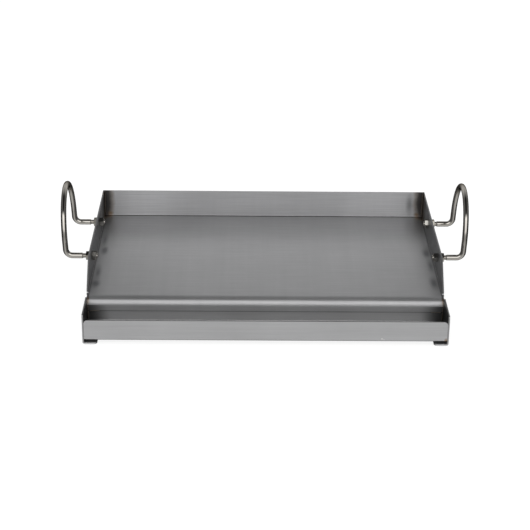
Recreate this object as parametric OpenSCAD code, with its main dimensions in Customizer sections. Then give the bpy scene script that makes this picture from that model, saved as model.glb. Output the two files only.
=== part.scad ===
// Flat top griddle: folded sheet-steel tray with a grease trough, under-plate bracing and two bolt-on handles.
// Millimetres. Origin under the middle of the tray, on the floor. X is the width, -Y the front, +Z up.

/* [Tray] */
// Overall width across the side walls
body_w = 457.2; // [300:0.1:700]
// Overall depth from the front panel to the back wall
body_d = 330.2; // [200:0.1:500]
// Height of the top of the back and side walls
wall_h = 76.2; // [50:0.1:120]
// Height of the cooking surface
plate_z = 39; // [25:0.5:60]
// Thickness of the folded sheet
sheet = 1.9; // [1:0.1:4]
// Inside radius of the folds round the cooking surface
fold_r = 1.2; // [0.8:0.1:8]
// Outside radius of the rolled front lip
lip_r = 11; // [4:0.5:15]
// Height of the lower edge of the front lip
lip_z = 21.8; // [12:0.1:27]

/* [Side walls] */
// Distance behind the front at which the wall top starts to slope down
slope_back = 100.5; // [70:0.5:200]
// Distance behind the front at which the wall ends
slope_front = 68.6; // [54:0.1:90]
// Height of the wall at its front end
slope_z = 43.6; // [40:0.1:70]

/* [Grease trough] */
// Distance from the front face to the face of the lip
trough_d = 51.9; // [25:0.1:80]
// Height of the top of the front panel
panel_top = 33; // [20:0.5:50]
// Height of the underside of the trough
panel_low = 5; // [3:0.1:15]
// Radius of the top corners of the front panel
panel_corner = 4.5; // [1:0.5:10]
// Height of the rear wall of the trough, behind the lip
trough_back = 26.5; // [20:0.5:35]

/* [End caps and feet] */
// Depth of an end cap
cap_d = 56; // [30:0.5:90]
// Height of an end cap
cap_h = 40.3; // [30:0.1:60]
// Width of the foot folded in under an end cap
foot_w = 18; // [8:0.5:40]
// Plan radius of the inner corners of a foot
foot_corner = 5; // [1:0.5:15]

/* [Bracing] */
// Thickness of the bracing bars
brace_t = 2.5; // [1.5:0.1:6]
// Distance of a side rail from the middle plane
rail_x = 219.5; // [150:0.5:224]
// Distance of an outer rib from the middle rib
rib_gap = 110; // [60:1:180]
// Position of the long brace, front to back
brace_y = 24; // [-60:1:100]
// Height of the heat windows in the bars
window_h = 14; // [6:0.5:22]

/* [Handles] */
// Diameter of the handle rod
rod_d = 7.5; // [5:0.1:12]
// Centre of the handles, front to back
handle_y = 25.9; // [-60:0.1:80]
// Height of the handle studs
handle_z = 61.7; // [50:0.1:68]
// Distance between the two studs of a handle
handle_span = 114; // [80:1:160]
// Distance from the wall to the bend of a handle
handle_reach = 31.6; // [20:0.1:60]
// How much further out than drawn the left handle sits
out_left = 0.3; // [-3:0.1:4]
// How much further out than drawn the right handle sits
out_right = -0.9; // [-3:0.1:4]
// Outward lean of the loop in degrees
handle_lean = 3; // [0:0.5:15]
// Length of the straight leg below the arch
leg_len = 17.5; // [12:0.5:60]
// Length of rod that the bend at the foot of a leg takes from each side of its corner
bend_t = 8.5; // [6:0.5:15]

/* [Studs and nuts] */
// Outside diameter of the stud thread
stud_d = 6.35; // [4:0.05:10]
// Pitch of the stud thread
stud_pitch = 1.27; // [0.8:0.01:2]
// Stud hole in the side wall
hole_d = 7.1; // [5:0.1:11]
// Distance across the flats of a nut
nut_af = 11.1; // [8:0.1:17]
// Thickness of a nut
nut_t = 5.56; // [3:0.01:9]
// Bore of a nut, with its running clearance
nut_bore = 6.47; // [4:0.01:10]
// Clearance between a nut and the wall
nut_gap = 0.3; // [0.1:0.05:1]

/* [Hidden] */
half_w = body_w / 2;
front_y = -body_d / 2;
back_y = body_d / 2;
inner_x = half_w - sheet;
plate_low = plate_z - sheet;
lip_y = front_y + trough_d;
roll_y = lip_y + lip_r;
roll_z = plate_z - lip_r;
lip_x = inner_x - 0.3;
edge_x = half_w - 1;
trough_x = inner_x - 0.1;
trough_rear = lip_y + sheet + 0.1;
trough_floor = panel_low + sheet;
cap_rear = front_y + cap_d;
shoulder_x = half_w + 9.4;
shoulder_len = 1.2;
stud_tip_x = half_w - 9.6;
leg_x = half_w + handle_reach;
bend_angle = 90 - handle_lean;
leg_bend = bend_t / tan(bend_angle / 2);
arch_r = handle_span / 2;
// The bends swell a hair over the drawn rod of the arch.
arch_d = rod_d - 0.1;
stud_front = handle_y - arch_r;
stud_rear = handle_y + arch_r;
rail_back = back_y - 8;
rib_front = roll_y + 1;
rib_back = back_y - 14;
brace_half = rail_x - brace_t / 2;
lap_z = plate_low / 2;
bead = 1.8;
$fn = 64;

// ---- helpers ----

// A flat outline in (Y, Z), extruded along X from x0 to x1.
module along_x(x0, x1) {
  translate([x0, 0, 0])
    rotate([90, 0, 90])
      linear_extrude(x1 - x0)
        children();
}

// A flat outline in (X, Z), extruded along Y from y0 to y1.
module along_y(y0, y1) {
  translate([0, y1, 0])
    rotate([90, 0, 0])
      linear_extrude(y1 - y0)
        children();
}

// What a rounded corner loses: the corner is at (x, y), and turn is 0 for upper right, then on by 90.
module corner_waste(x, y, r, turn) {
  translate([x, y])
    rotate(turn)
      translate([-r, -r])
        difference() {
          square(r + 1);
          circle(r);
        }
}

// A rectangle between two corners whose two lower corners are rounded.
module trough_2d(x0, y0, x1, y1, r) {
  difference() {
    translate([x0, y0])
      square([x1 - x0, y1 - y0]);
    corner_waste(x0, y0, r, 180);
    corner_waste(x1, y0, r, 270);
  }
}

// The section of a concave weld bead that lies in the corner at the origin.
module bead_2d() {
  difference() {
    square(bead);
    translate([bead, bead])
      circle(bead);
  }
}

// A window with round ends, l long and h high, centred.
module window_2d(l, h) {
  square([l - h, h], center = true);
  for (s = [-1, 1])
    translate([s * (l - h) / 2, 0])
      circle(h / 2);
}

// ---- tray ----

// A tub that is open at the front, with its folds rounded to r.
module tub(x, y0, y1, z0, z1, r) {
  intersection() {
    along_x(-x, x)
      difference() {
        translate([y0, z0])
          square([y1 - y0, z1 - z0]);
        corner_waste(y1, z0, r, 270);
      }
    along_y(y0, y1)
      trough_2d(-x, z0, x, z1, r);
  }
}

// What lies over the outline of the side walls, with the relief notch at their front.
module wall_waste_2d() {
  polygon([
    [roll_y - 5, plate_z],
    [front_y + slope_front - 0.9, plate_z],
    [front_y + slope_front, plate_z + 1.6],
    [front_y + slope_front, slope_z - 1],
    [front_y + slope_front + 0.8, slope_z],
    [front_y + slope_back, wall_h],
    [front_y + slope_back, wall_h + 5],
    [roll_y - 5, wall_h + 5]
  ]);
}

module front_lip() {
  difference() {
    along_x(-edge_x, edge_x) {
      intersection() {
        translate([roll_y, roll_z])
          difference() {
            circle(lip_r);
            circle(lip_r - sheet);
          }
        translate([lip_y, roll_z])
          square(lip_r);
      }
      translate([lip_y, lip_z])
        square([sheet, roll_z - lip_z]);
    }
    for (s = [-1, 1])
      translate([s * (lip_x + 5) - 5, lip_y - 5, 0])
        cube([10, cap_rear + 5.3 - lip_y, wall_h]);
  }
}

module stud_hole(y) {
  translate([0, y, handle_z])
    rotate([0, 90, 0])
      cylinder(h = body_w + 2, d = hole_d, center = true);
}

module griddle_pan() {
  color("silver") {
    difference() {
      tub(half_w, roll_y, back_y, plate_low, wall_h, fold_r + sheet);
      tub(inner_x, roll_y - 9, back_y - sheet, plate_z, wall_h + 9, fold_r);
      along_x(-half_w - 1, half_w + 1)
        wall_waste_2d();
      stud_hole(stud_front);
      stud_hole(stud_rear);
    }
    front_lip();
  }
}

// ---- grease trough and end caps ----

module grease_trough() {
  color("silver")
    difference() {
      along_x(-trough_x, trough_x)
        difference() {
          trough_2d(front_y, panel_low, trough_rear + sheet, panel_top, 2 + sheet);
          trough_2d(front_y + sheet, trough_floor, trough_rear, panel_top + 5, 2);
          translate([trough_rear - 1, trough_back])
            square([sheet + 2, 9]);
        }
      along_y(front_y - 1, front_y + sheet + 1) {
        corner_waste(trough_x, panel_top, panel_corner, 0);
        corner_waste(-trough_x, panel_top, panel_corner, 90);
      }
    }
}

module end_cap() {
  color("silver")
    difference() {
      along_y(front_y, cap_rear)
        difference() {
          translate([half_w - foot_w, 0])
            square([foot_w, cap_h]);
          corner_waste(half_w, 0, 1.3 + sheet, 270);
          difference() {
            translate([half_w - foot_w - 1, sheet])
              square([foot_w + 1 - sheet, cap_h]);
            corner_waste(inner_x, sheet, 1.3, 270);
          }
        }
      along_x(inner_x - 1, half_w + 1) {
        corner_waste(front_y, cap_h, 2, 90);
        corner_waste(cap_rear, cap_h, 5, 0);
      }
      translate([0, 0, -1])
        linear_extrude(sheet + 2) {
          corner_waste(half_w - foot_w, front_y, foot_corner, 180);
          corner_waste(half_w - foot_w, cap_rear, foot_corner, 90);
        }
    }
}

module end_cap_right() {
  end_cap();
}

module end_cap_left() {
  mirror([1, 0, 0])
    end_cap();
}

// ---- bracing under the plate ----

module side_rail(x) {
  color("gray")
    along_x(x - brace_t / 2, x + brace_t / 2)
      translate([rib_front, 0])
        square([rail_back - rib_front, plate_low]);
}

module side_rail_right() {
  side_rail(rail_x);
}

module side_rail_left() {
  side_rail(-rail_x);
}

module long_brace() {
  color("gray")
    along_y(brace_y - brace_t / 2, brace_y + brace_t / 2)
      difference() {
        translate([-brace_half, 0])
          square([2 * brace_half, plate_low]);
        for (x = [-rib_gap, 0, rib_gap])
          translate([x - brace_t / 2, lap_z])
            square([brace_t, plate_low]);
        for (x = [-1.5, -0.5, 0.5, 1.5])
          translate([x * rib_gap, lap_z])
            window_2d(64, window_h);
      }
}

module rib(x) {
  color("gray")
    along_x(x - brace_t / 2, x + brace_t / 2)
      difference() {
        translate([rib_front, 0])
          square([rib_back - rib_front, plate_low]);
        translate([brace_y - brace_t / 2, -1])
          square([brace_t, lap_z + 1]);
        for (y = [-80, -21, 68, 122])
          translate([y, lap_z])
            window_2d(42, window_h);
      }
}

module rib_left() {
  rib(-rib_gap);
}

module rib_mid() {
  rib(0);
}

module rib_right() {
  rib(rib_gap);
}

// ---- handles ----

// One stud, along X, with thread grooves where it shows. Its tip is at the origin.
module stud(out) {
  r = stud_d / 2;
  cut = 0.5;
  shown = half_w + nut_gap + nut_t - stud_tip_x;
  full = shoulder_x + out - stud_tip_x;
  turns = floor((full - shown) / stud_pitch);
  grooves = [
    for (i = [0 : turns - 1])
      each [
        [r, shown + (i + 0.35) * stud_pitch],
        [r - cut, shown + (i + 0.65) * stud_pitch],
        [r - cut, shown + (i + 0.85) * stud_pitch],
        [r, shown + (i + 1.15) * stud_pitch]
      ]
  ];
  tip = [[0, 0], [r - 0.7, 0], [r, 0.7]];
  end = [[r, full], [rod_d / 2, full + shoulder_len], [0, full + shoulder_len]];
  rotate([0, 90, 0])
    rotate_extrude()
      polygon(concat(tip, grooves, end));
}

// One leg with its stud. The corner of its centre line is at the origin.
module handle_leg(out) {
  bar_x = shoulder_x + shoulder_len - leg_x;
  translate([stud_tip_x - leg_x - out, 0, 0])
    stud(out);
  translate([bar_x, 0, 0])
    rotate([0, 90, 0])
      cylinder(h = -bend_t - bar_x, d = rod_d);
  translate([-bend_t, 0, leg_bend])
    rotate([90, 0, 0])
      rotate([0, 0, -90])
        rotate_extrude(angle = bend_angle)
          translate([leg_bend, 0])
            circle(d = rod_d);
  rotate([0, handle_lean, 0])
    translate([0, 0, bend_t - 0.5])
      rotate([0, 0, 90])
        cylinder(h = leg_len - bend_t + 0.5, d = arch_d);
}

module handle(out) {
  color("lightgray")
    translate([leg_x + out, handle_y, handle_z]) {
      for (side = [0, 1])
        mirror([0, side, 0])
          translate([0, arch_r, 0])
            handle_leg(out);
      rotate([0, handle_lean, 0])
        translate([0, 0, leg_len])
          for (turn = [0, 90])
            rotate([90, 0, 90])
              rotate([0, 0, turn])
                rotate_extrude(angle = 90)
                  translate([arch_r, 0])
                    circle(d = arch_d);
    }
}

module handle_right() {
  handle(out_right);
}

module handle_left() {
  mirror([1, 0, 0])
    handle(out_left);
}

// ---- nuts ----

// A chamfered hexagon nut along X, its lower-x face at x, turned by turn degrees.
module hex_nut(x, y, turn) {
  corner_r = nut_af / sqrt(3);
  face_r = nut_af * 0.48;
  slope = (corner_r - face_r) * tan(30);
  color("lightgray")
    translate([x, y, handle_z])
      rotate([turn, 0, 0])
        rotate([0, 90, 0])
          difference() {
            intersection() {
              cylinder(h = nut_t, r = corner_r, $fn = 6);
              rotate_extrude()
                polygon([
                  [0, 0], [face_r, 0], [corner_r, slope],
                  [corner_r, nut_t - slope], [face_r, nut_t], [0, nut_t]
                ]);
            }
            translate([0, 0, -1])
              cylinder(h = nut_t + 2, d = nut_bore);
            translate([0, 0, -0.01])
              cylinder(h = 0.4, r1 = nut_bore / 2 + 0.4, r2 = nut_bore / 2);
            translate([0, 0, nut_t - 0.39])
              cylinder(h = 0.4, r1 = nut_bore / 2, r2 = nut_bore / 2 + 0.4);
          }
}

outer_nut_x = half_w + nut_gap;
inner_nut_x = inner_x - nut_gap - nut_t;

module outer_nut_right_front() {
  hex_nut(outer_nut_x, stud_front, 12);
}

module outer_nut_right_rear() {
  hex_nut(outer_nut_x, stud_rear, 26);
}

module outer_nut_left_front() {
  hex_nut(-outer_nut_x - nut_t, stud_front, 4);
}

module outer_nut_left_rear() {
  hex_nut(-outer_nut_x - nut_t, stud_rear, 19);
}

module inner_nut_right_front() {
  hex_nut(inner_nut_x, stud_front, 8);
}

module inner_nut_right_rear() {
  hex_nut(inner_nut_x, stud_rear, 22);
}

module inner_nut_left_front() {
  hex_nut(-inner_nut_x - nut_t, stud_front, 17);
}

module inner_nut_left_rear() {
  hex_nut(-inner_nut_x - nut_t, stud_rear, 2);
}

// ---- weld beads ----

module corner_weld() {
  translate([inner_x, back_y - sheet, plate_z + fold_r + 1])
    rotate(180)
      linear_extrude(wall_h - plate_z - fold_r - 1.5)
        bead_2d();
}

module corner_welds() {
  color("dimgray") {
    corner_weld();
    mirror([1, 0, 0])
      corner_weld();
  }
}

// The beads where the lip and the three inner faces of the trough meet an end cap.
module cap_weld() {
  color("dimgray") {
    translate([inner_x, lip_y, lip_z])
      rotate(180)
        linear_extrude(roll_z - lip_z)
          bead_2d();
    translate([inner_x, trough_rear, trough_floor + 2])
      rotate(180)
        linear_extrude(lip_z - trough_floor - 4)
          bead_2d();
    translate([inner_x, front_y + sheet, trough_floor + 2])
      rotate(90)
        linear_extrude(panel_top - panel_corner - trough_floor - 2)
          bead_2d();
    along_y(front_y + sheet + 2, trough_rear - 2)
      translate([inner_x, trough_floor])
        rotate(90)
          bead_2d();
  }
}

module cap_weld_right() {
  cap_weld();
}

module cap_weld_left() {
  mirror([1, 0, 0])
    cap_weld();
}

module seam_welds() {
  color("dimgray")
    for (x = [-224, 211.5])
      along_x(x, x + 12.5)
        translate([trough_rear, lip_z])
          rotate(180)
            bead_2d();
}

module rail_tacks() {
  for (y = [-66, -36, 0, 34, 92, 140])
    translate([rail_x - brace_t / 2, y, plate_low])
      rotate([-90, 0, 0])
        rotate(90)
          linear_extrude(12)
            bead_2d();
}

module brace_welds() {
  color("dimgray") {
    rail_tacks();
    mirror([1, 0, 0])
      rail_tacks();
    for (x = [-200, -150, -92, -40, 22, 70, 132, 180])
      along_x(x, x + 12)
        translate([brace_y - brace_t / 2, plate_low])
          rotate(180)
            bead_2d();
    for (x = [-rib_gap, 0, rib_gap], y = [-98, -58, -6, 44, 90, 132])
      along_y(y, y + 12)
        translate([x + brace_t / 2, plate_low])
          rotate(270)
            bead_2d();
  }
}

griddle_pan();
grease_trough();
end_cap_left();
end_cap_right();
side_rail_left();
side_rail_right();
long_brace();
rib_left();
rib_mid();
rib_right();
handle_left();
handle_right();
outer_nut_left_front();
outer_nut_left_rear();
outer_nut_right_front();
outer_nut_right_rear();
inner_nut_left_front();
inner_nut_left_rear();
inner_nut_right_front();
inner_nut_right_rear();
corner_welds();
cap_weld_left();
cap_weld_right();
seam_welds();
brace_welds();
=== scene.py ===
"""Looks of the flat top griddle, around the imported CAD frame. Metres, row frame."""

import math

import bmesh
import bpy
from mathutils import Matrix, Vector, noise


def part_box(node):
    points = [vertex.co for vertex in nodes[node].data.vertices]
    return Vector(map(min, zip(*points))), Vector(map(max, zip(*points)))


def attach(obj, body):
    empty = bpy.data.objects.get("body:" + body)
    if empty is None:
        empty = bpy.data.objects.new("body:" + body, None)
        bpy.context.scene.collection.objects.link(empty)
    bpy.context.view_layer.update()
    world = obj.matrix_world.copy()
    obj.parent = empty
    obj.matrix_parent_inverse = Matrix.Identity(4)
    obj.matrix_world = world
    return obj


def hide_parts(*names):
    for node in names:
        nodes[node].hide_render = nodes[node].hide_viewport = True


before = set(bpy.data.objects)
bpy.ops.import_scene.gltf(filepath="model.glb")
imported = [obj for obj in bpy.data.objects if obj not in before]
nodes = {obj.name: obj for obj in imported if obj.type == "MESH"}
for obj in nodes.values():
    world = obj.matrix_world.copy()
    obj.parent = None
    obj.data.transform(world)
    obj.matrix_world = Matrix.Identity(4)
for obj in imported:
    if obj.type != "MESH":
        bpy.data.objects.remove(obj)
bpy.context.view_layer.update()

MM = 0.001

# ---- places that the frame gives ----
sheet = 1.9 * MM
pan_lo, pan_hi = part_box("griddle_pan")
trough_lo, trough_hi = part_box("grease_trough")
cap_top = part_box("end_cap_right")[1].z
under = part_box("long_brace")[1].z  # the underside of the plate
plate_z = under + sheet
inner_x = pan_hi.x - sheet  # the inner face of the right wall
back_in = pan_hi.y - sheet  # the inner face of the back wall
lip_y, lip_z = pan_lo.y, pan_lo.z  # the lip's front face and lower edge
lip_radius = 11 * MM
gap_y = trough_hi.y - sheet  # the front face of the trough's rear wall

# ---- how a material tells which face it is on ----
HAIR = 0.2 * MM  # how far a point may be off a face
FACING = 0.7  # how much of the normal lies along the axis that the face looks along
WALL_FACING = 0.6  # the same for the side walls, with part of their bends


# ---- node trees ----
class Graph:
    """Short calls for building a node tree."""

    def __init__(self, tree):
        self.tree = tree
        tree.nodes.clear()

    def add(self, kind, *values, **settings):
        node = self.tree.nodes.new(kind)
        for key, value in settings.items():
            setattr(node, key, value)
        for i, value in enumerate(values):
            if value is not None:
                self.put(node.inputs[i], value)
        return node

    def put(self, socket, value):
        if isinstance(value, bpy.types.NodeSocket):
            self.tree.links.new(value, socket)
        else:
            socket.default_value = value

    def math(self, op, a, b=None, c=None):
        return self.add("ShaderNodeMath", a, b, c, operation=op).outputs[0]

    def times(self, *values):
        """The product of two or more values."""
        product = values[0]
        for value in values[1:]:
            product = self.math("MULTIPLY", product, value)
        return product

    def vary(self, value, noise, amount):
        """value, moved up and down by noise, by amount from its lowest to its highest."""
        return self.math("ADD", value, self.times(self.math("SUBTRACT", noise, 0.5), amount))

    def vec(self, op, a, b=None):
        node = self.add("ShaderNodeVectorMath", a, b, operation=op)
        return node.outputs["Value" if op == "LENGTH" else "Vector"]

    def split(self, v):
        return self.add("ShaderNodeSeparateXYZ", v).outputs

    def join(self, x, y, z):
        return self.add("ShaderNodeCombineXYZ", x, y, z).outputs[0]

    def noise(self, v, scale=1.0, detail=2.0, rough=0.5):
        node = self.add("ShaderNodeTexNoise")
        self.put(node.inputs["Vector"], v)
        node.inputs["Scale"].default_value = scale
        node.inputs["Detail"].default_value = detail
        node.inputs["Roughness"].default_value = rough
        return node.outputs[0]

    def remap(self, v, a, b, c, d, smooth=False):
        """v from a to b, stretched to run from c to d and held there."""
        kind = "SMOOTHSTEP" if smooth else "LINEAR"
        return self.add("ShaderNodeMapRange", v, a, b, c, d, interpolation_type=kind).outputs[0]

    def mix(self, factor, a, b, blend="MIX"):
        node = self.add("ShaderNodeMix", data_type="RGBA", blend_type=blend)
        self.put(node.inputs[0], factor)
        self.put(node.inputs[6], a)
        self.put(node.inputs[7], b)
        return node.outputs[2]

    def ramp(self, factor, stops):
        """Straight steps from stop to stop, each a place from 0 to 1 and a colour."""
        node = self.add("ShaderNodeValToRGB")
        ramp = node.color_ramp
        while len(ramp.elements) < len(stops):
            ramp.elements.new(0.5)
        for element, (at, colour) in zip(ramp.elements, stops):
            element.position = at
            element.color = colour if len(colour) == 4 else (*colour, 1)
        self.put(node.inputs[0], factor)
        return node.outputs[0]


def grey(v):
    """A neutral colour."""
    return (v, v, v, 1)


# ---- colours ----
# Heat tint, from the middle of a weld outwards, and how strongly each part covers the steel.
TINT = [
    (0.00, (0.030, 0.027, 0.026)),
    (0.40, (0.045, 0.038, 0.034)),
    (0.56, (0.090, 0.070, 0.052)),
    (0.70, (0.190, 0.130, 0.080)),
    (0.84, (0.340, 0.280, 0.210)),
    (1.00, (0.460, 0.450, 0.430)),
]
COVER = [(0.0, grey(0.97)), (0.45, grey(0.90)), (0.70, grey(0.55)), (1.0, grey(0.0))]
AMBER = [(0.0, grey(0.80)), (0.4, grey(0.60)), (1.0, grey(0.0))]
# A spot that a weld on the other side of the sheet leaves: a dull blue-grey bloom.
BLOOM = [(0.0, grey(0.62)), (0.35, grey(0.52)), (0.65, grey(0.22)), (1.0, grey(0.0))]
BLOOM_BLUE = (0.085, 0.090, 0.095, 1)
AMBER_BROWN = (0.33, 0.20, 0.085, 1)
SPECK_WHITE = (0.9, 0.9, 0.88, 1)


def nearest(g, at, spots, wobble):
    """Distance to the nearest spot, from start in its middle to 1 at its edge.

    A spot is its centre, its half size along each axis, and its start.
    """
    found = None
    for centre, half, start in spots:
        scaled = g.vec("MULTIPLY", g.vec("SUBTRACT", at, centre), tuple(1 / h for h in half))
        d = g.math("MULTIPLY_ADD", g.vec("LENGTH", scaled), 1 - start, start)
        found = d if found is None else g.math("SMOOTH_MIN", found, d, 0.08)
    return g.vary(found, wobble, 0.35)


def flag(g, op, value, limit):
    """1 where value is over (">") or under ("<") limit, 0 elsewhere."""
    return g.math("GREATER_THAN" if op == ">" else "LESS_THAN", value, limit)


def fade(g, amount, factor):
    """1 where amount is 0, factor where it is 1."""
    return g.math("SUBTRACT", 1.0, g.times(amount, g.math("SUBTRACT", 1.0, factor)))


def pan_painted_shading(g, x, y, z, nx, ny, nz):
    """Painted shade on the inner side walls, in the back fold, at the ends of the lip and over the plate,
    darkest towards the back; painted light on the back wall; darker cut edges on the side walls.
    """
    ax = g.math("ABSOLUTE", x)

    # the plate, with painted shade: brightest in the middle, darker towards the lip, darkest in the back
    # fold, darker towards both walls and right beside them, and darker again over its back half, most on the
    # left
    depth = 0.280
    across = g.math("MULTIPLY_ADD", y, 1 / depth, 0.110 / depth)
    knots = [(0.03, 0.78), (0.10, 0.81), (0.30, 0.87), (0.50, 0.95), (0.62, 0.93), (0.72, 0.84)]
    knots += [(0.80, 0.76), (0.92, 0.66), (0.962, 0.60), (0.972, 0.42)]
    plate = g.ramp(across, [(at, grey(v)) for at, v in knots])
    plate = g.times(plate, g.remap(x, -0.215, -0.075, 0.86, 1.0, smooth=True))
    plate = g.times(plate, g.remap(x, 0.075, 0.215, 1.0, 0.91, smooth=True))
    plate = g.times(plate, g.remap(ax, inner_x - 0.003, inner_x - 0.0012, 1.0, 0.35, smooth=True))
    rear = g.remap(y, 0.055, 0.115, 0.0, 1.0, smooth=True)
    left = g.remap(x, -0.215, -0.030, 0.80, 0.95, smooth=True)
    right = g.remap(x, 0.110, 0.215, 1.0, 0.88, smooth=True)
    plate = g.times(plate, fade(g, rear, g.times(left, right)))
    on_plate = g.times(flag(g, ">", nz, FACING), flag(g, "<", z, plate_z + 0.001))

    # painted shade on the inner faces of the side walls, darkest towards the back, and painted light on the
    # back wall, brightest towards its ends
    wall = g.remap(y, 0.095, 0.155, 0.40, 0.16, smooth=True)
    on_wall = g.times(flag(g, ">", nx, WALL_FACING), flag(g, "<", ax, inner_x + HAIR))
    back = g.remap(ax, 0.08, 0.19, 1.15, 1.54, smooth=True)
    on_back = g.times(flag(g, "<", ny, -FACING), flag(g, ">", y, back_in - 0.001))

    # painted shade in the back fold and at the ends of the lip, and darker cut edges on the side walls
    on_fold = g.times(flag(g, ">", y, back_in - 0.0025), flag(g, "<", z, plate_z + 0.0007))
    on_edge = g.times(flag(g, ">", ax, inner_x - HAIR), flag(g, "<", nx, WALL_FACING))
    on_edge = g.times(on_edge, flag(g, ">", z, plate_z + 0.001))
    end = g.remap(ax, 0.198, inner_x - 0.0005, 0.96, 0.30, smooth=True)
    on_lip = g.times(flag(g, "<", y, lip_y + 0.004), flag(g, "<", z, plate_z - 0.0095))

    faces = g.times(fade(g, on_plate, plate), fade(g, on_wall, wall), fade(g, on_back, back))
    return g.times(faces, fade(g, on_fold, 0.45), fade(g, on_edge, 0.35), fade(g, on_lip, end))


def trough_painted_shading(g, x, y, z, nx, ny, nz):
    """Painted shade: darker inside, nearly black at both ends and right under the lip, and dark along the
    cut edges at the top of the front panel and along its bottom edge.
    """
    ax = g.math("ABSOLUTE", x)
    inside = flag(g, ">", y, trough_lo.y + 0.0006)
    # painted shade inside the trough: darker towards both ends and right under the lip
    dull = g.remap(ax, 0.195, inner_x - 0.0005, 0.82, 0.18, smooth=True)
    dull = g.times(dull, g.remap(z, lip_z - 0.0022, lip_z - 0.0010, 1.0, 0.30, smooth=True))
    top = g.times(flag(g, ">", nz, FACING), flag(g, ">", z, trough_hi.z - 2 * HAIR))
    rim = g.remap(z, trough_lo.z + 0.0020, trough_lo.z + 0.0007, 1.0, 0.35, smooth=True)
    return g.times(fade(g, inside, dull), fade(g, top, 0.25), rim)


def on_foot(g, z):
    """1 on the end cap's foot, 0 elsewhere."""
    return flag(g, "<", z, sheet + HAIR / 2)


def foot_dull(g, z, metal):
    """The foot is scuffed, so it mirrors less."""
    return g.math("SUBTRACT", metal, g.times(on_foot(g, z), 0.35))


def cap_painted_shading(g, x, y, z, nx, ny, nz):
    """Painted shade and light: nearly black inside faces, a dark top edge, a foot painted a little brighter,
    and painted shadow on the foot where it runs in under the trough.
    """
    ax = g.math("ABSOLUTE", x)
    inside = g.times(flag(g, "<", ax, inner_x + HAIR), flag(g, ">", z, 0.0025))
    foot = on_foot(g, z)
    # painted shadow on the foot where it runs in under the trough
    tucked = g.remap(y, trough_lo.y + 0.0003, trough_lo.y + 0.003, 1.0, 0.2, smooth=True)
    top = flag(g, ">", z, cap_top - 0.0003)
    dark = g.times(fade(g, inside, 0.10), fade(g, top, 0.30))
    return g.times(dark, fade(g, foot, 1.12), fade(g, foot, tucked))


# How often each layer of the surface varies in a metre: across and along its lines, or all round.
FINE = (2600.0, 30.0)
BROAD = (95.0, 2.5)
WEFT = (900.0, 14.0)
CLOUDS, MOTTLE, SWELL = 9.0, 60.0, 14.0
RELIEF = 0.2 * MM
SMOOTHEST = 0.06


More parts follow.
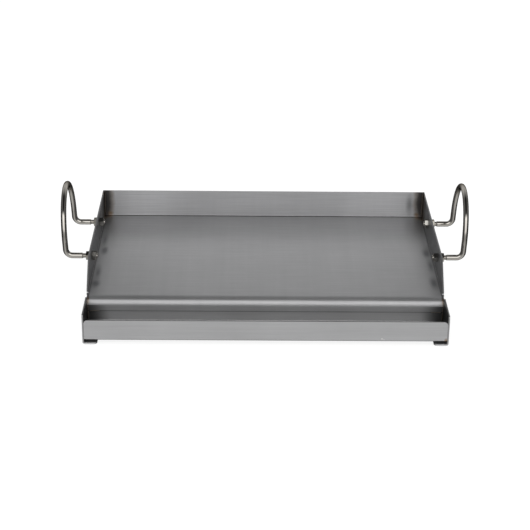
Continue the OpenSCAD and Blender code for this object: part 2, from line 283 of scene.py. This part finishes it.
def steel(
    name,
    base,
    rough,
    grain="x",
    streak=0.08,
    cross=0.0,
    cloud=0.10,
    bump=0.12,
    tints=(),
    ambers=(),
    blooms=(),
    specks=(),
    wave=0.0,
    metal=1.0,
    shade=None,
    rim=None,
    dull=None,
):
    """Brushed or mill-finish steel.

    The fine lines run along the grain axis. streak, cross, cloud and bump say how much the lines,
    the cross lines, the blotches and the relief show, and wave is how deep the sheet undulates.
    tints, ambers, blooms and specks are lists of spots. shade is a function that paints light and shade
    into the colour over the piece, dull one that varies the metallic value, and rim is the colour of its
    grazing reflections.
    """
    mat = bpy.data.materials.new(name)
    mat.use_nodes = True
    g = Graph(mat.node_tree)
    coord = g.add("ShaderNodeTexCoord")
    at = coord.outputs["Object"]
    x, y, z = g.split(at)
    face = g.split(coord.outputs["Normal"])
    nx = g.math("ABSOLUTE", face[0])

    def lines(across, along):
        """Noise drawn out along the grain, on each face in its own plane."""
        if grain == "x":
            return g.noise(g.vec("MULTIPLY", at, (along, across, across)), 1.0, 3.0, 0.6)
        flat = g.vec("MULTIPLY", at, (across, along, along))
        side = g.join(3.7, g.times(y, along), g.times(z, across))
        sideways = flag(g, ">", nx, FACING)
        both = g.add("ShaderNodeMix", data_type="VECTOR")
        g.put(both.inputs[0], sideways)
        g.put(both.inputs[4], flat)
        g.put(both.inputs[5], side)
        return g.noise(both.outputs[1], 1.0, 3.0, 0.6)

    fine = lines(*FINE)
    broad = lines(*BROAD)
    weft = g.noise(g.vec("MULTIPLY", at, (WEFT[1], WEFT[0], WEFT[0])))
    clouds = g.noise(at, CLOUDS, 4.0, 0.55)
    mottle = g.noise(at, MOTTLE, 3.0, 0.6)

    # colour and roughness
    tone = g.vary(1.0, broad, streak * 2)
    tone = g.vary(tone, clouds, cloud * 2)
    tone = g.vary(tone, fine, streak)
    tone = g.vary(tone, weft, cross)
    # painted light and shade over the piece, from its shade function
    if shade:
        tone = g.times(tone, shade(g, x, y, z, nx, face[1], face[2]))
    tone3 = g.join(tone, tone, tone)
    colour = g.mix(1.0, (*base, 1), tone3, "MULTIPLY")
    roughness = g.vary(rough, clouds, 0.10)
    roughness = g.vary(roughness, fine, 0.08)
    roughness = g.vary(roughness, mottle, 0.06)
    if blooms:
        d = nearest(g, at, blooms, mottle)
        cover = g.ramp(d, BLOOM)
        colour = g.mix(cover, colour, BLOOM_BLUE)
        roughness = g.math("ADD", roughness, g.times(cover, 0.12))
    if tints:
        d = nearest(g, at, tints, mottle)
        colour = g.mix(g.ramp(d, COVER), colour, g.ramp(d, TINT))
        roughness = g.math("ADD", roughness, g.times(g.ramp(d, COVER), 0.10))
    if ambers:
        d = nearest(g, at, ambers, mottle)
        colour = g.mix(g.ramp(d, AMBER), colour, AMBER_BROWN)
    if specks:
        d = nearest(g, at, specks, mottle)
        colour = g.mix(g.remap(d, 0.6, 1.0, 0.9, 0.0), colour, SPECK_WHITE)

    # relief
    height = g.math("ADD", g.times(fine, 0.6), g.times(mottle, 0.15))
    normal = g.add("ShaderNodeBump")
    normal.inputs["Strength"].default_value = bump
    normal.inputs["Distance"].default_value = RELIEF
    g.put(normal.inputs["Height"], height)
    if wave:
        swell = g.add("ShaderNodeBump")
        swell.inputs["Strength"].default_value = 1.0
        swell.inputs["Distance"].default_value = wave
        g.put(swell.inputs["Height"], g.noise(at, SWELL, 1.0, 0.4))
        g.put(normal.inputs["Normal"], swell.outputs[0])

    shader = g.add("ShaderNodeBsdfPrincipled")
    shader.inputs["Metallic"].default_value = metal
    if dull:
        g.put(shader.inputs["Metallic"], dull(g, z, metal))
    if rim:
        shader.inputs["Specular Tint"].default_value = (*rim, 1)
    g.put(shader.inputs["Base Color"], colour)
    g.put(shader.inputs["Roughness"], g.math("MAXIMUM", roughness, SMOOTHEST))
    g.put(shader.inputs["Normal"], normal.outputs[0])
    g.add("ShaderNodeOutputMaterial", shader.outputs[0])
    return mat


def at_mm(x, y, z):
    """A place or a size given in millimetres."""
    return (x * MM, y * MM, z * MM)


# ---- heat marks, smudges and specks: centre, half size, start ----
corner_tints = [(at_mm(s * 227.2, 164.2, 62), at_mm(16, 19, 60), 0.0) for s in (-1, 1)]
corner_ambers = [(at_mm(s * 218.5, 163.0, 42), at_mm(5, 3.5, 4.5), 0.2) for s in (-1, 1)]
corner_ambers += [(at_mm(s * 227.0, -110, 33), at_mm(3.5, 6, 7), 0.0) for s in (-1, 1)]
plate_blooms = [
    (at_mm(-216.8, 37, 39), at_mm(6.5, 17, 4), 0.0),
    (at_mm(-219.5, 74, 39), at_mm(6, 34, 4), 0.35),
    (at_mm(-219.6, -36, 39), at_mm(6, 30, 4), 0.2),
    (at_mm(-219.7, -69, 39), at_mm(8, 16, 4), 0.0),
    (at_mm(219.5, 33, 39), at_mm(7, 20, 4), 0.1),
    (at_mm(221.0, -8, 39), at_mm(6, 30, 4), 0.25),
    (at_mm(219.5, -63, 39), at_mm(7.5, 24, 4), 0.05),
    (at_mm(208.0, 161, 58), at_mm(7, 6, 22), 0.0),
]
cap_tints = [(at_mm(227.4, -150, 6), at_mm(4.0, 18, 5), 0.5)]
panel_ambers = [(at_mm(225.4, -165, 7.0), at_mm(3.2, 3.5, 4.2), 0.0)]
specks = [(at_mm(145, -165.1, 9.6), at_mm(1.6, 1.5, 1.5), 0.0)]
specks += [(at_mm(147.5, -165.1, 8.4), at_mm(0.9, 1.5, 0.9), 0.0)]

# ---- materials ----
PAN = steel(
    "pan_sheet_steel",
    (0.500, 0.502, 0.510),
    0.42,
    grain="y",
    streak=0.05,
    cross=0.32,
    tints=corner_tints,
    ambers=corner_ambers,
    blooms=plate_blooms,
    wave=0.00004,
    metal=0.88,
    shade=pan_painted_shading,
)
TROUGH = steel(
    "trough_sheet_steel",
    (0.640, 0.642, 0.648),
    0.42,
    grain="x",
    cross=0.16,
    cloud=0.15,
    ambers=panel_ambers,
    specks=specks,
    metal=0.88,
    shade=trough_painted_shading,
)
CAP = steel(
    "end_cap_steel",
    (0.50, 0.50, 0.505),
    0.36,
    grain="x",
    tints=cap_tints,
    metal=0.9,
    shade=cap_painted_shading,
    dull=foot_dull,
)
BRACE = steel("brace_bar_steel", (0.47, 0.465, 0.46), 0.42, grain="x", cloud=0.2)
PLATED = {"bump": 0.05, "streak": 0.03, "rim": (0.12, 0.11, 0.10)}
NUT = steel("nut_plated_steel", (0.72, 0.70, 0.65), 0.16, cloud=0.05, **PLATED)
OUTER_NUT = steel("outer_nut_steel", (0.46, 0.44, 0.40), 0.20, cloud=0.08, **PLATED)
ROD = steel(
    "handle_bright_steel",
    (0.70, 0.67, 0.62),
    0.06,
    grain="x",
    bump=0.02,
    cloud=0.03,
    streak=0.03,
    rim=(0.16, 0.15, 0.14),
)
WELD = steel("weld_bead_metal", (0.30, 0.26, 0.22), 0.34, grain="x", cloud=0.5, bump=0.2)


def dress(node, material):
    """Give a CAD node its one material."""
    nodes[node].data.materials.clear()
    nodes[node].data.materials.append(material)


dress("griddle_pan", PAN)
dress("grease_trough", TROUGH)
for n in nodes:
    if n.startswith("end_cap"):
        dress(n, CAP)
    elif n.startswith(("side_rail", "long_brace", "rib_")):
        dress(n, BRACE)
    elif "_nut_" in n:
        dress(n, NUT if n.startswith("inner") else OUTER_NUT)
    elif n.startswith("handle"):
        dress(n, ROD)
    elif "weld" in n:
        dress(n, WELD)

# ---- the sheets and bars have slightly broken edges ----
BROKEN_EDGE = 0.22 * MM
for n in nodes:
    if n in ("griddle_pan", "grease_trough") or n.startswith(("end_cap", "side_rail", "long_brace", "rib_")):
        bevel = nodes[n].modifiers.new("broken_edges", "BEVEL")
        bevel.width = BROKEN_EDGE
        bevel.segments = 2
        bevel.limit_method = "ANGLE"
        bevel.angle_limit = math.radians(50)
        bevel.use_clamp_overlap = True

# ---- weld beads: a rippled run of metal in place of each plain CAD bead ----
BEAD_SIZE = 1.8 * MM
RING_STEP = 0.45 * MM
RIPPLE_STEP = 1.3 * MM
X, Y, Z = Vector((1, 0, 0)), Vector((0, 1, 0)), Vector((0, 0, 1))


def bead_run(bm, start, end, side_a, side_b, seed=0.0):
    """One bead from start to end in the corner of two faces that leave it along side_a and side_b."""
    run = end - start
    length = run.length
    along = run / length
    steps = max(6, round(length / RING_STEP))
    points = 10
    rings = []
    for i in range(steps + 1):
        t = i / steps
        s = t * length
        taper = min(1.0, 0.45 + min(s, length - s) / (1.2 * MM))
        ripple = 0.90 + 0.07 * math.sin(2 * math.pi * s / RIPPLE_STEP + seed)
        drift = 0.05 * noise.noise(Vector((s * 300, seed, 0.3)))
        r = BEAD_SIZE * 0.54 * taper * (ripple + drift)
        middle = start + along * s + (side_a + side_b) * BEAD_SIZE * 0.40
        ring = []
        for k in range(points):
            turn = 2 * math.pi * k / points
            lag = along * (0.25 * MM * math.cos(turn - math.pi / 4)) if 0 < i < steps else Vector()
            out = side_a * r * math.cos(turn) + side_b * r * math.sin(turn)
            ring.append(bm.verts.new(middle + out + lag))
        rings.append(ring)
    for one, two in zip(rings, rings[1:]):
        for k in range(points):
            bm.faces.new((one[k], one[k - 1], two[k - 1], two[k]))
    bm.faces.new(rings[0])
    bm.faces.new(reversed(rings[-1]))


def bead_piece(name, runs, replaced):
    """One piece from all its runs, in place of the CAD node that they stand for."""
    bm = bmesh.new()
    for i, run in enumerate(runs):
        bead_run(bm, *run, seed=1.7 * i)
    bmesh.ops.recalc_face_normals(bm, faces=bm.faces)
    for face in bm.faces:
        face.smooth = len(face.verts) == 4
    mesh = bpy.data.meshes.new(name)
    bm.to_mesh(mesh)
    bm.free()
    piece = bpy.data.objects.new(name, mesh)
    bpy.context.scene.collection.objects.link(piece)
    mesh.materials.append(WELD)
    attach(piece, "griddle")
    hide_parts(replaced)


corner_lo, corner_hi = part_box("corner_welds")
runs = []
for s in (-1, 1):
    foot = Vector((s * inner_x, back_in, corner_lo.z))
    runs.append((foot, Vector((foot.x, foot.y, corner_hi.z)), -s * X, -Y))
bead_piece("weld_bead_corners", runs, "corner_welds")

front = trough_lo.y + sheet
floor_z = trough_lo.z + sheet
short = 2 * MM  # how far a bead stays clear of a fold or of the next bead
for s, side_name in ((-1, "left"), (1, "right")):
    x0 = s * inner_x
    runs = [
        (Vector((x0, lip_y, lip_z)), Vector((x0, lip_y, plate_z - lip_radius)), -s * X, -Y),
        (Vector((x0, gap_y, floor_z + short)), Vector((x0, gap_y, lip_z - short)), -s * X, -Y),
        (Vector((x0, front, floor_z + short)), Vector((x0, front, trough_hi.z - 0.0045)), -s * X, Y),
        (Vector((x0, front + short, floor_z)), Vector((x0, gap_y - short, floor_z)), -s * X, Z),
    ]
    bead_piece("weld_bead_cap_" + side_name, runs, "cap_weld_" + side_name)

SEAM_RUN = 12.5 * MM
seam_lo, seam_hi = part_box("seam_welds")
runs = []
for x0 in (seam_lo.x, seam_hi.x - SEAM_RUN):
    begin = Vector((x0, gap_y, lip_z))
    runs.append((begin, begin + X * SEAM_RUN, -Y, -Z))
bead_piece("weld_bead_seam", runs, "seam_welds")

# tack welds along the bars under the plate, each given by where it begins
TACK = 12 * MM
RAIL_TACKS = (-0.066, -0.036, 0.0, 0.034, 0.092, 0.140)
BRACE_TACKS = (-0.200, -0.150, -0.092, -0.040, 0.022, 0.070, 0.132, 0.180)
RIB_TACKS = (-0.098, -0.058, -0.006, 0.044, 0.090, 0.132)
rail_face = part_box("side_rail_right")[0].x
brace_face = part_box("long_brace")[0].y
runs = []
for s in (-1, 1):
    for y0 in RAIL_TACKS:
        begin = Vector((s * rail_face, y0, under))
        runs.append((begin, begin + Y * TACK, -s * X, -Z))
for x0 in BRACE_TACKS:
    begin = Vector((x0, brace_face, under))
    runs.append((begin, begin + X * TACK, -Y, -Z))
for rib in ("rib_left", "rib_mid", "rib_right"):
    for y0 in RIB_TACKS:
        begin = Vector((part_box(rib)[1].x, y0, under))
        runs.append((begin, begin + Y * TACK, X, -Z))
bead_piece("weld_tacks_under", runs, "brace_welds")

# ---- floor: white paper that neither lights the griddle nor mirrors in it ----
FLOOR_REACH = 12.0
PAPER_GLOW = 0.84
floor_mesh = bpy.data.meshes.new("studio_floor")
bm = bmesh.new()
bmesh.ops.create_grid(bm, x_segments=1, y_segments=1, size=FLOOR_REACH)
bm.to_mesh(floor_mesh)
bm.free()
floor = bpy.data.objects.new("studio_floor", floor_mesh)
bpy.context.scene.collection.objects.link(floor)
floor.location.z = -0.1 * MM
floor.visible_glossy = False
floor.visible_diffuse = False
floor.visible_shadow = False
paper = bpy.data.materials.new("white_paper")
paper.use_nodes = True
sockets = paper.node_tree.nodes["Principled BSDF"].inputs
sockets["Base Color"].default_value = grey(0.18)
sockets["Roughness"].default_value = 0.9
sockets["Specular IOR Level"].default_value = 0.0
sockets["Emission Color"].default_value = grey(1.0)
sockets["Emission Strength"].default_value = PAPER_GLOW
floor_mesh.materials.append(paper)

# ---- studio round the object: brightness by direction ----
world = bpy.data.worlds.new("studio")
bpy.context.scene.world = world
world.use_nodes = True
g = Graph(world.node_tree)
x, y, z = g.split(g.add("ShaderNodeTexCoord").outputs["Generated"])
turn = g.math("ARCTAN2", z, g.times(y, -1.0))
turn = g.math("FRACT", g.math("ADD", g.math("DIVIDE", turn, 2 * math.pi), 0.25))


def deg(elevation):
    """Place on the profile: -90 is straight below, 0 the front horizon, 90 overhead, 180 the back."""
    return elevation / 360 + 0.25


# the middle of the studio, from below round the front, over the top and down the back
PROFILE = [
    (deg(-90), grey(0.44)),
    (deg(-50), grey(0.52)),
    (deg(-24), grey(0.46)),
    (deg(-4), grey(0.30)),
    (deg(6), grey(0.42)),
    (deg(15), (1.02, 1.01, 1.01)),
    (deg(50), (1.30, 1.29, 1.28)),
    (deg(57), grey(0.50)),
    (deg(62), grey(0.06)),
    (deg(70), grey(0.02)),
    (deg(108), grey(0.02)),
    (deg(118), grey(0.14)),
    (deg(132), grey(0.34)),
    (deg(148), grey(0.56)),
    (deg(166), grey(0.68)),
    (deg(180), grey(0.54)),
    (deg(190), grey(0.44)),
    (deg(198), grey(0.18)),
    (deg(230), grey(0.15)),
    (deg(269), grey(0.42)),
]
# both sides of it, from straight below to overhead
SIDE = [(0.0, grey(0.10)), (0.45, grey(0.03)), (0.6, grey(0.05)), (1.0, grey(0.26))]
middle = g.ramp(turn, PROFILE)
side = g.ramp(g.math("MULTIPLY_ADD", z, 0.5, 0.5), SIDE)
aside = g.remap(g.math("ABSOLUTE", x), 0.42, 0.76, 0.0, 1.0, smooth=True)
glow = g.add("ShaderNodeBackground")
g.put(glow.inputs[0], g.mix(aside, middle, side))
glow.inputs[1].default_value = 1.0
g.add("ShaderNodeOutputWorld", glow.outputs[0])

# ---- soft lights that metal does not mirror: one over the floor, one low in front ----
def soft_light(name, place, width, height, energy):
    """A rectangle of light that looks at the middle of the griddle."""
    light = bpy.data.lights.new(name, "AREA")
    light.shape = "RECTANGLE"
    light.size, light.size_y = width, height
    light.energy = energy
    lamp = bpy.data.objects.new(name, light)
    lamp.location = place
    lamp.rotation_euler = (Vector((0, 0, 0.04)) - Vector(place)).to_track_quat("-Z", "Y").to_euler()
    bpy.context.scene.collection.objects.link(lamp)
    lamp.visible_glossy = False
    lamp.visible_camera = False


soft_light("overhead_soft", (0, 0, 3.2), 7.0, 7.0, 240)
soft_light("front_fill", (0, -2.8, 0.75), 2.6, 1.0, 75)

# ---- camera, as fitted to the outline of the griddle ----
EYE = (-0.02726, -1.8901, 0.88756)
YAW, PITCH, ROLL = 0.014567, 0.42352, 0.011675
SENSOR, LENS = 36, 105.33
ahead = Vector((math.sin(YAW) * math.cos(PITCH), math.cos(YAW) * math.cos(PITCH), -math.sin(PITCH)))
level = Vector((math.cos(YAW), -math.sin(YAW), 0))
rise = level.cross(ahead)
right = level * math.cos(ROLL) + rise * math.sin(ROLL)
up = rise * math.cos(ROLL) - level * math.sin(ROLL)
cam = bpy.data.cameras.new("camera")
cam.sensor_width = SENSOR
cam.lens = LENS
cam.clip_start, cam.clip_end = 0.05, 60
eye = bpy.data.objects.new("camera", cam)
eye.matrix_world = Matrix.Translation(EYE) @ Matrix((right, up, -ahead)).transposed().to_4x4()
bpy.context.scene.collection.objects.link(eye)
bpy.context.scene.camera = eye
bpy.context.scene.view_settings.view_transform = "Standard"
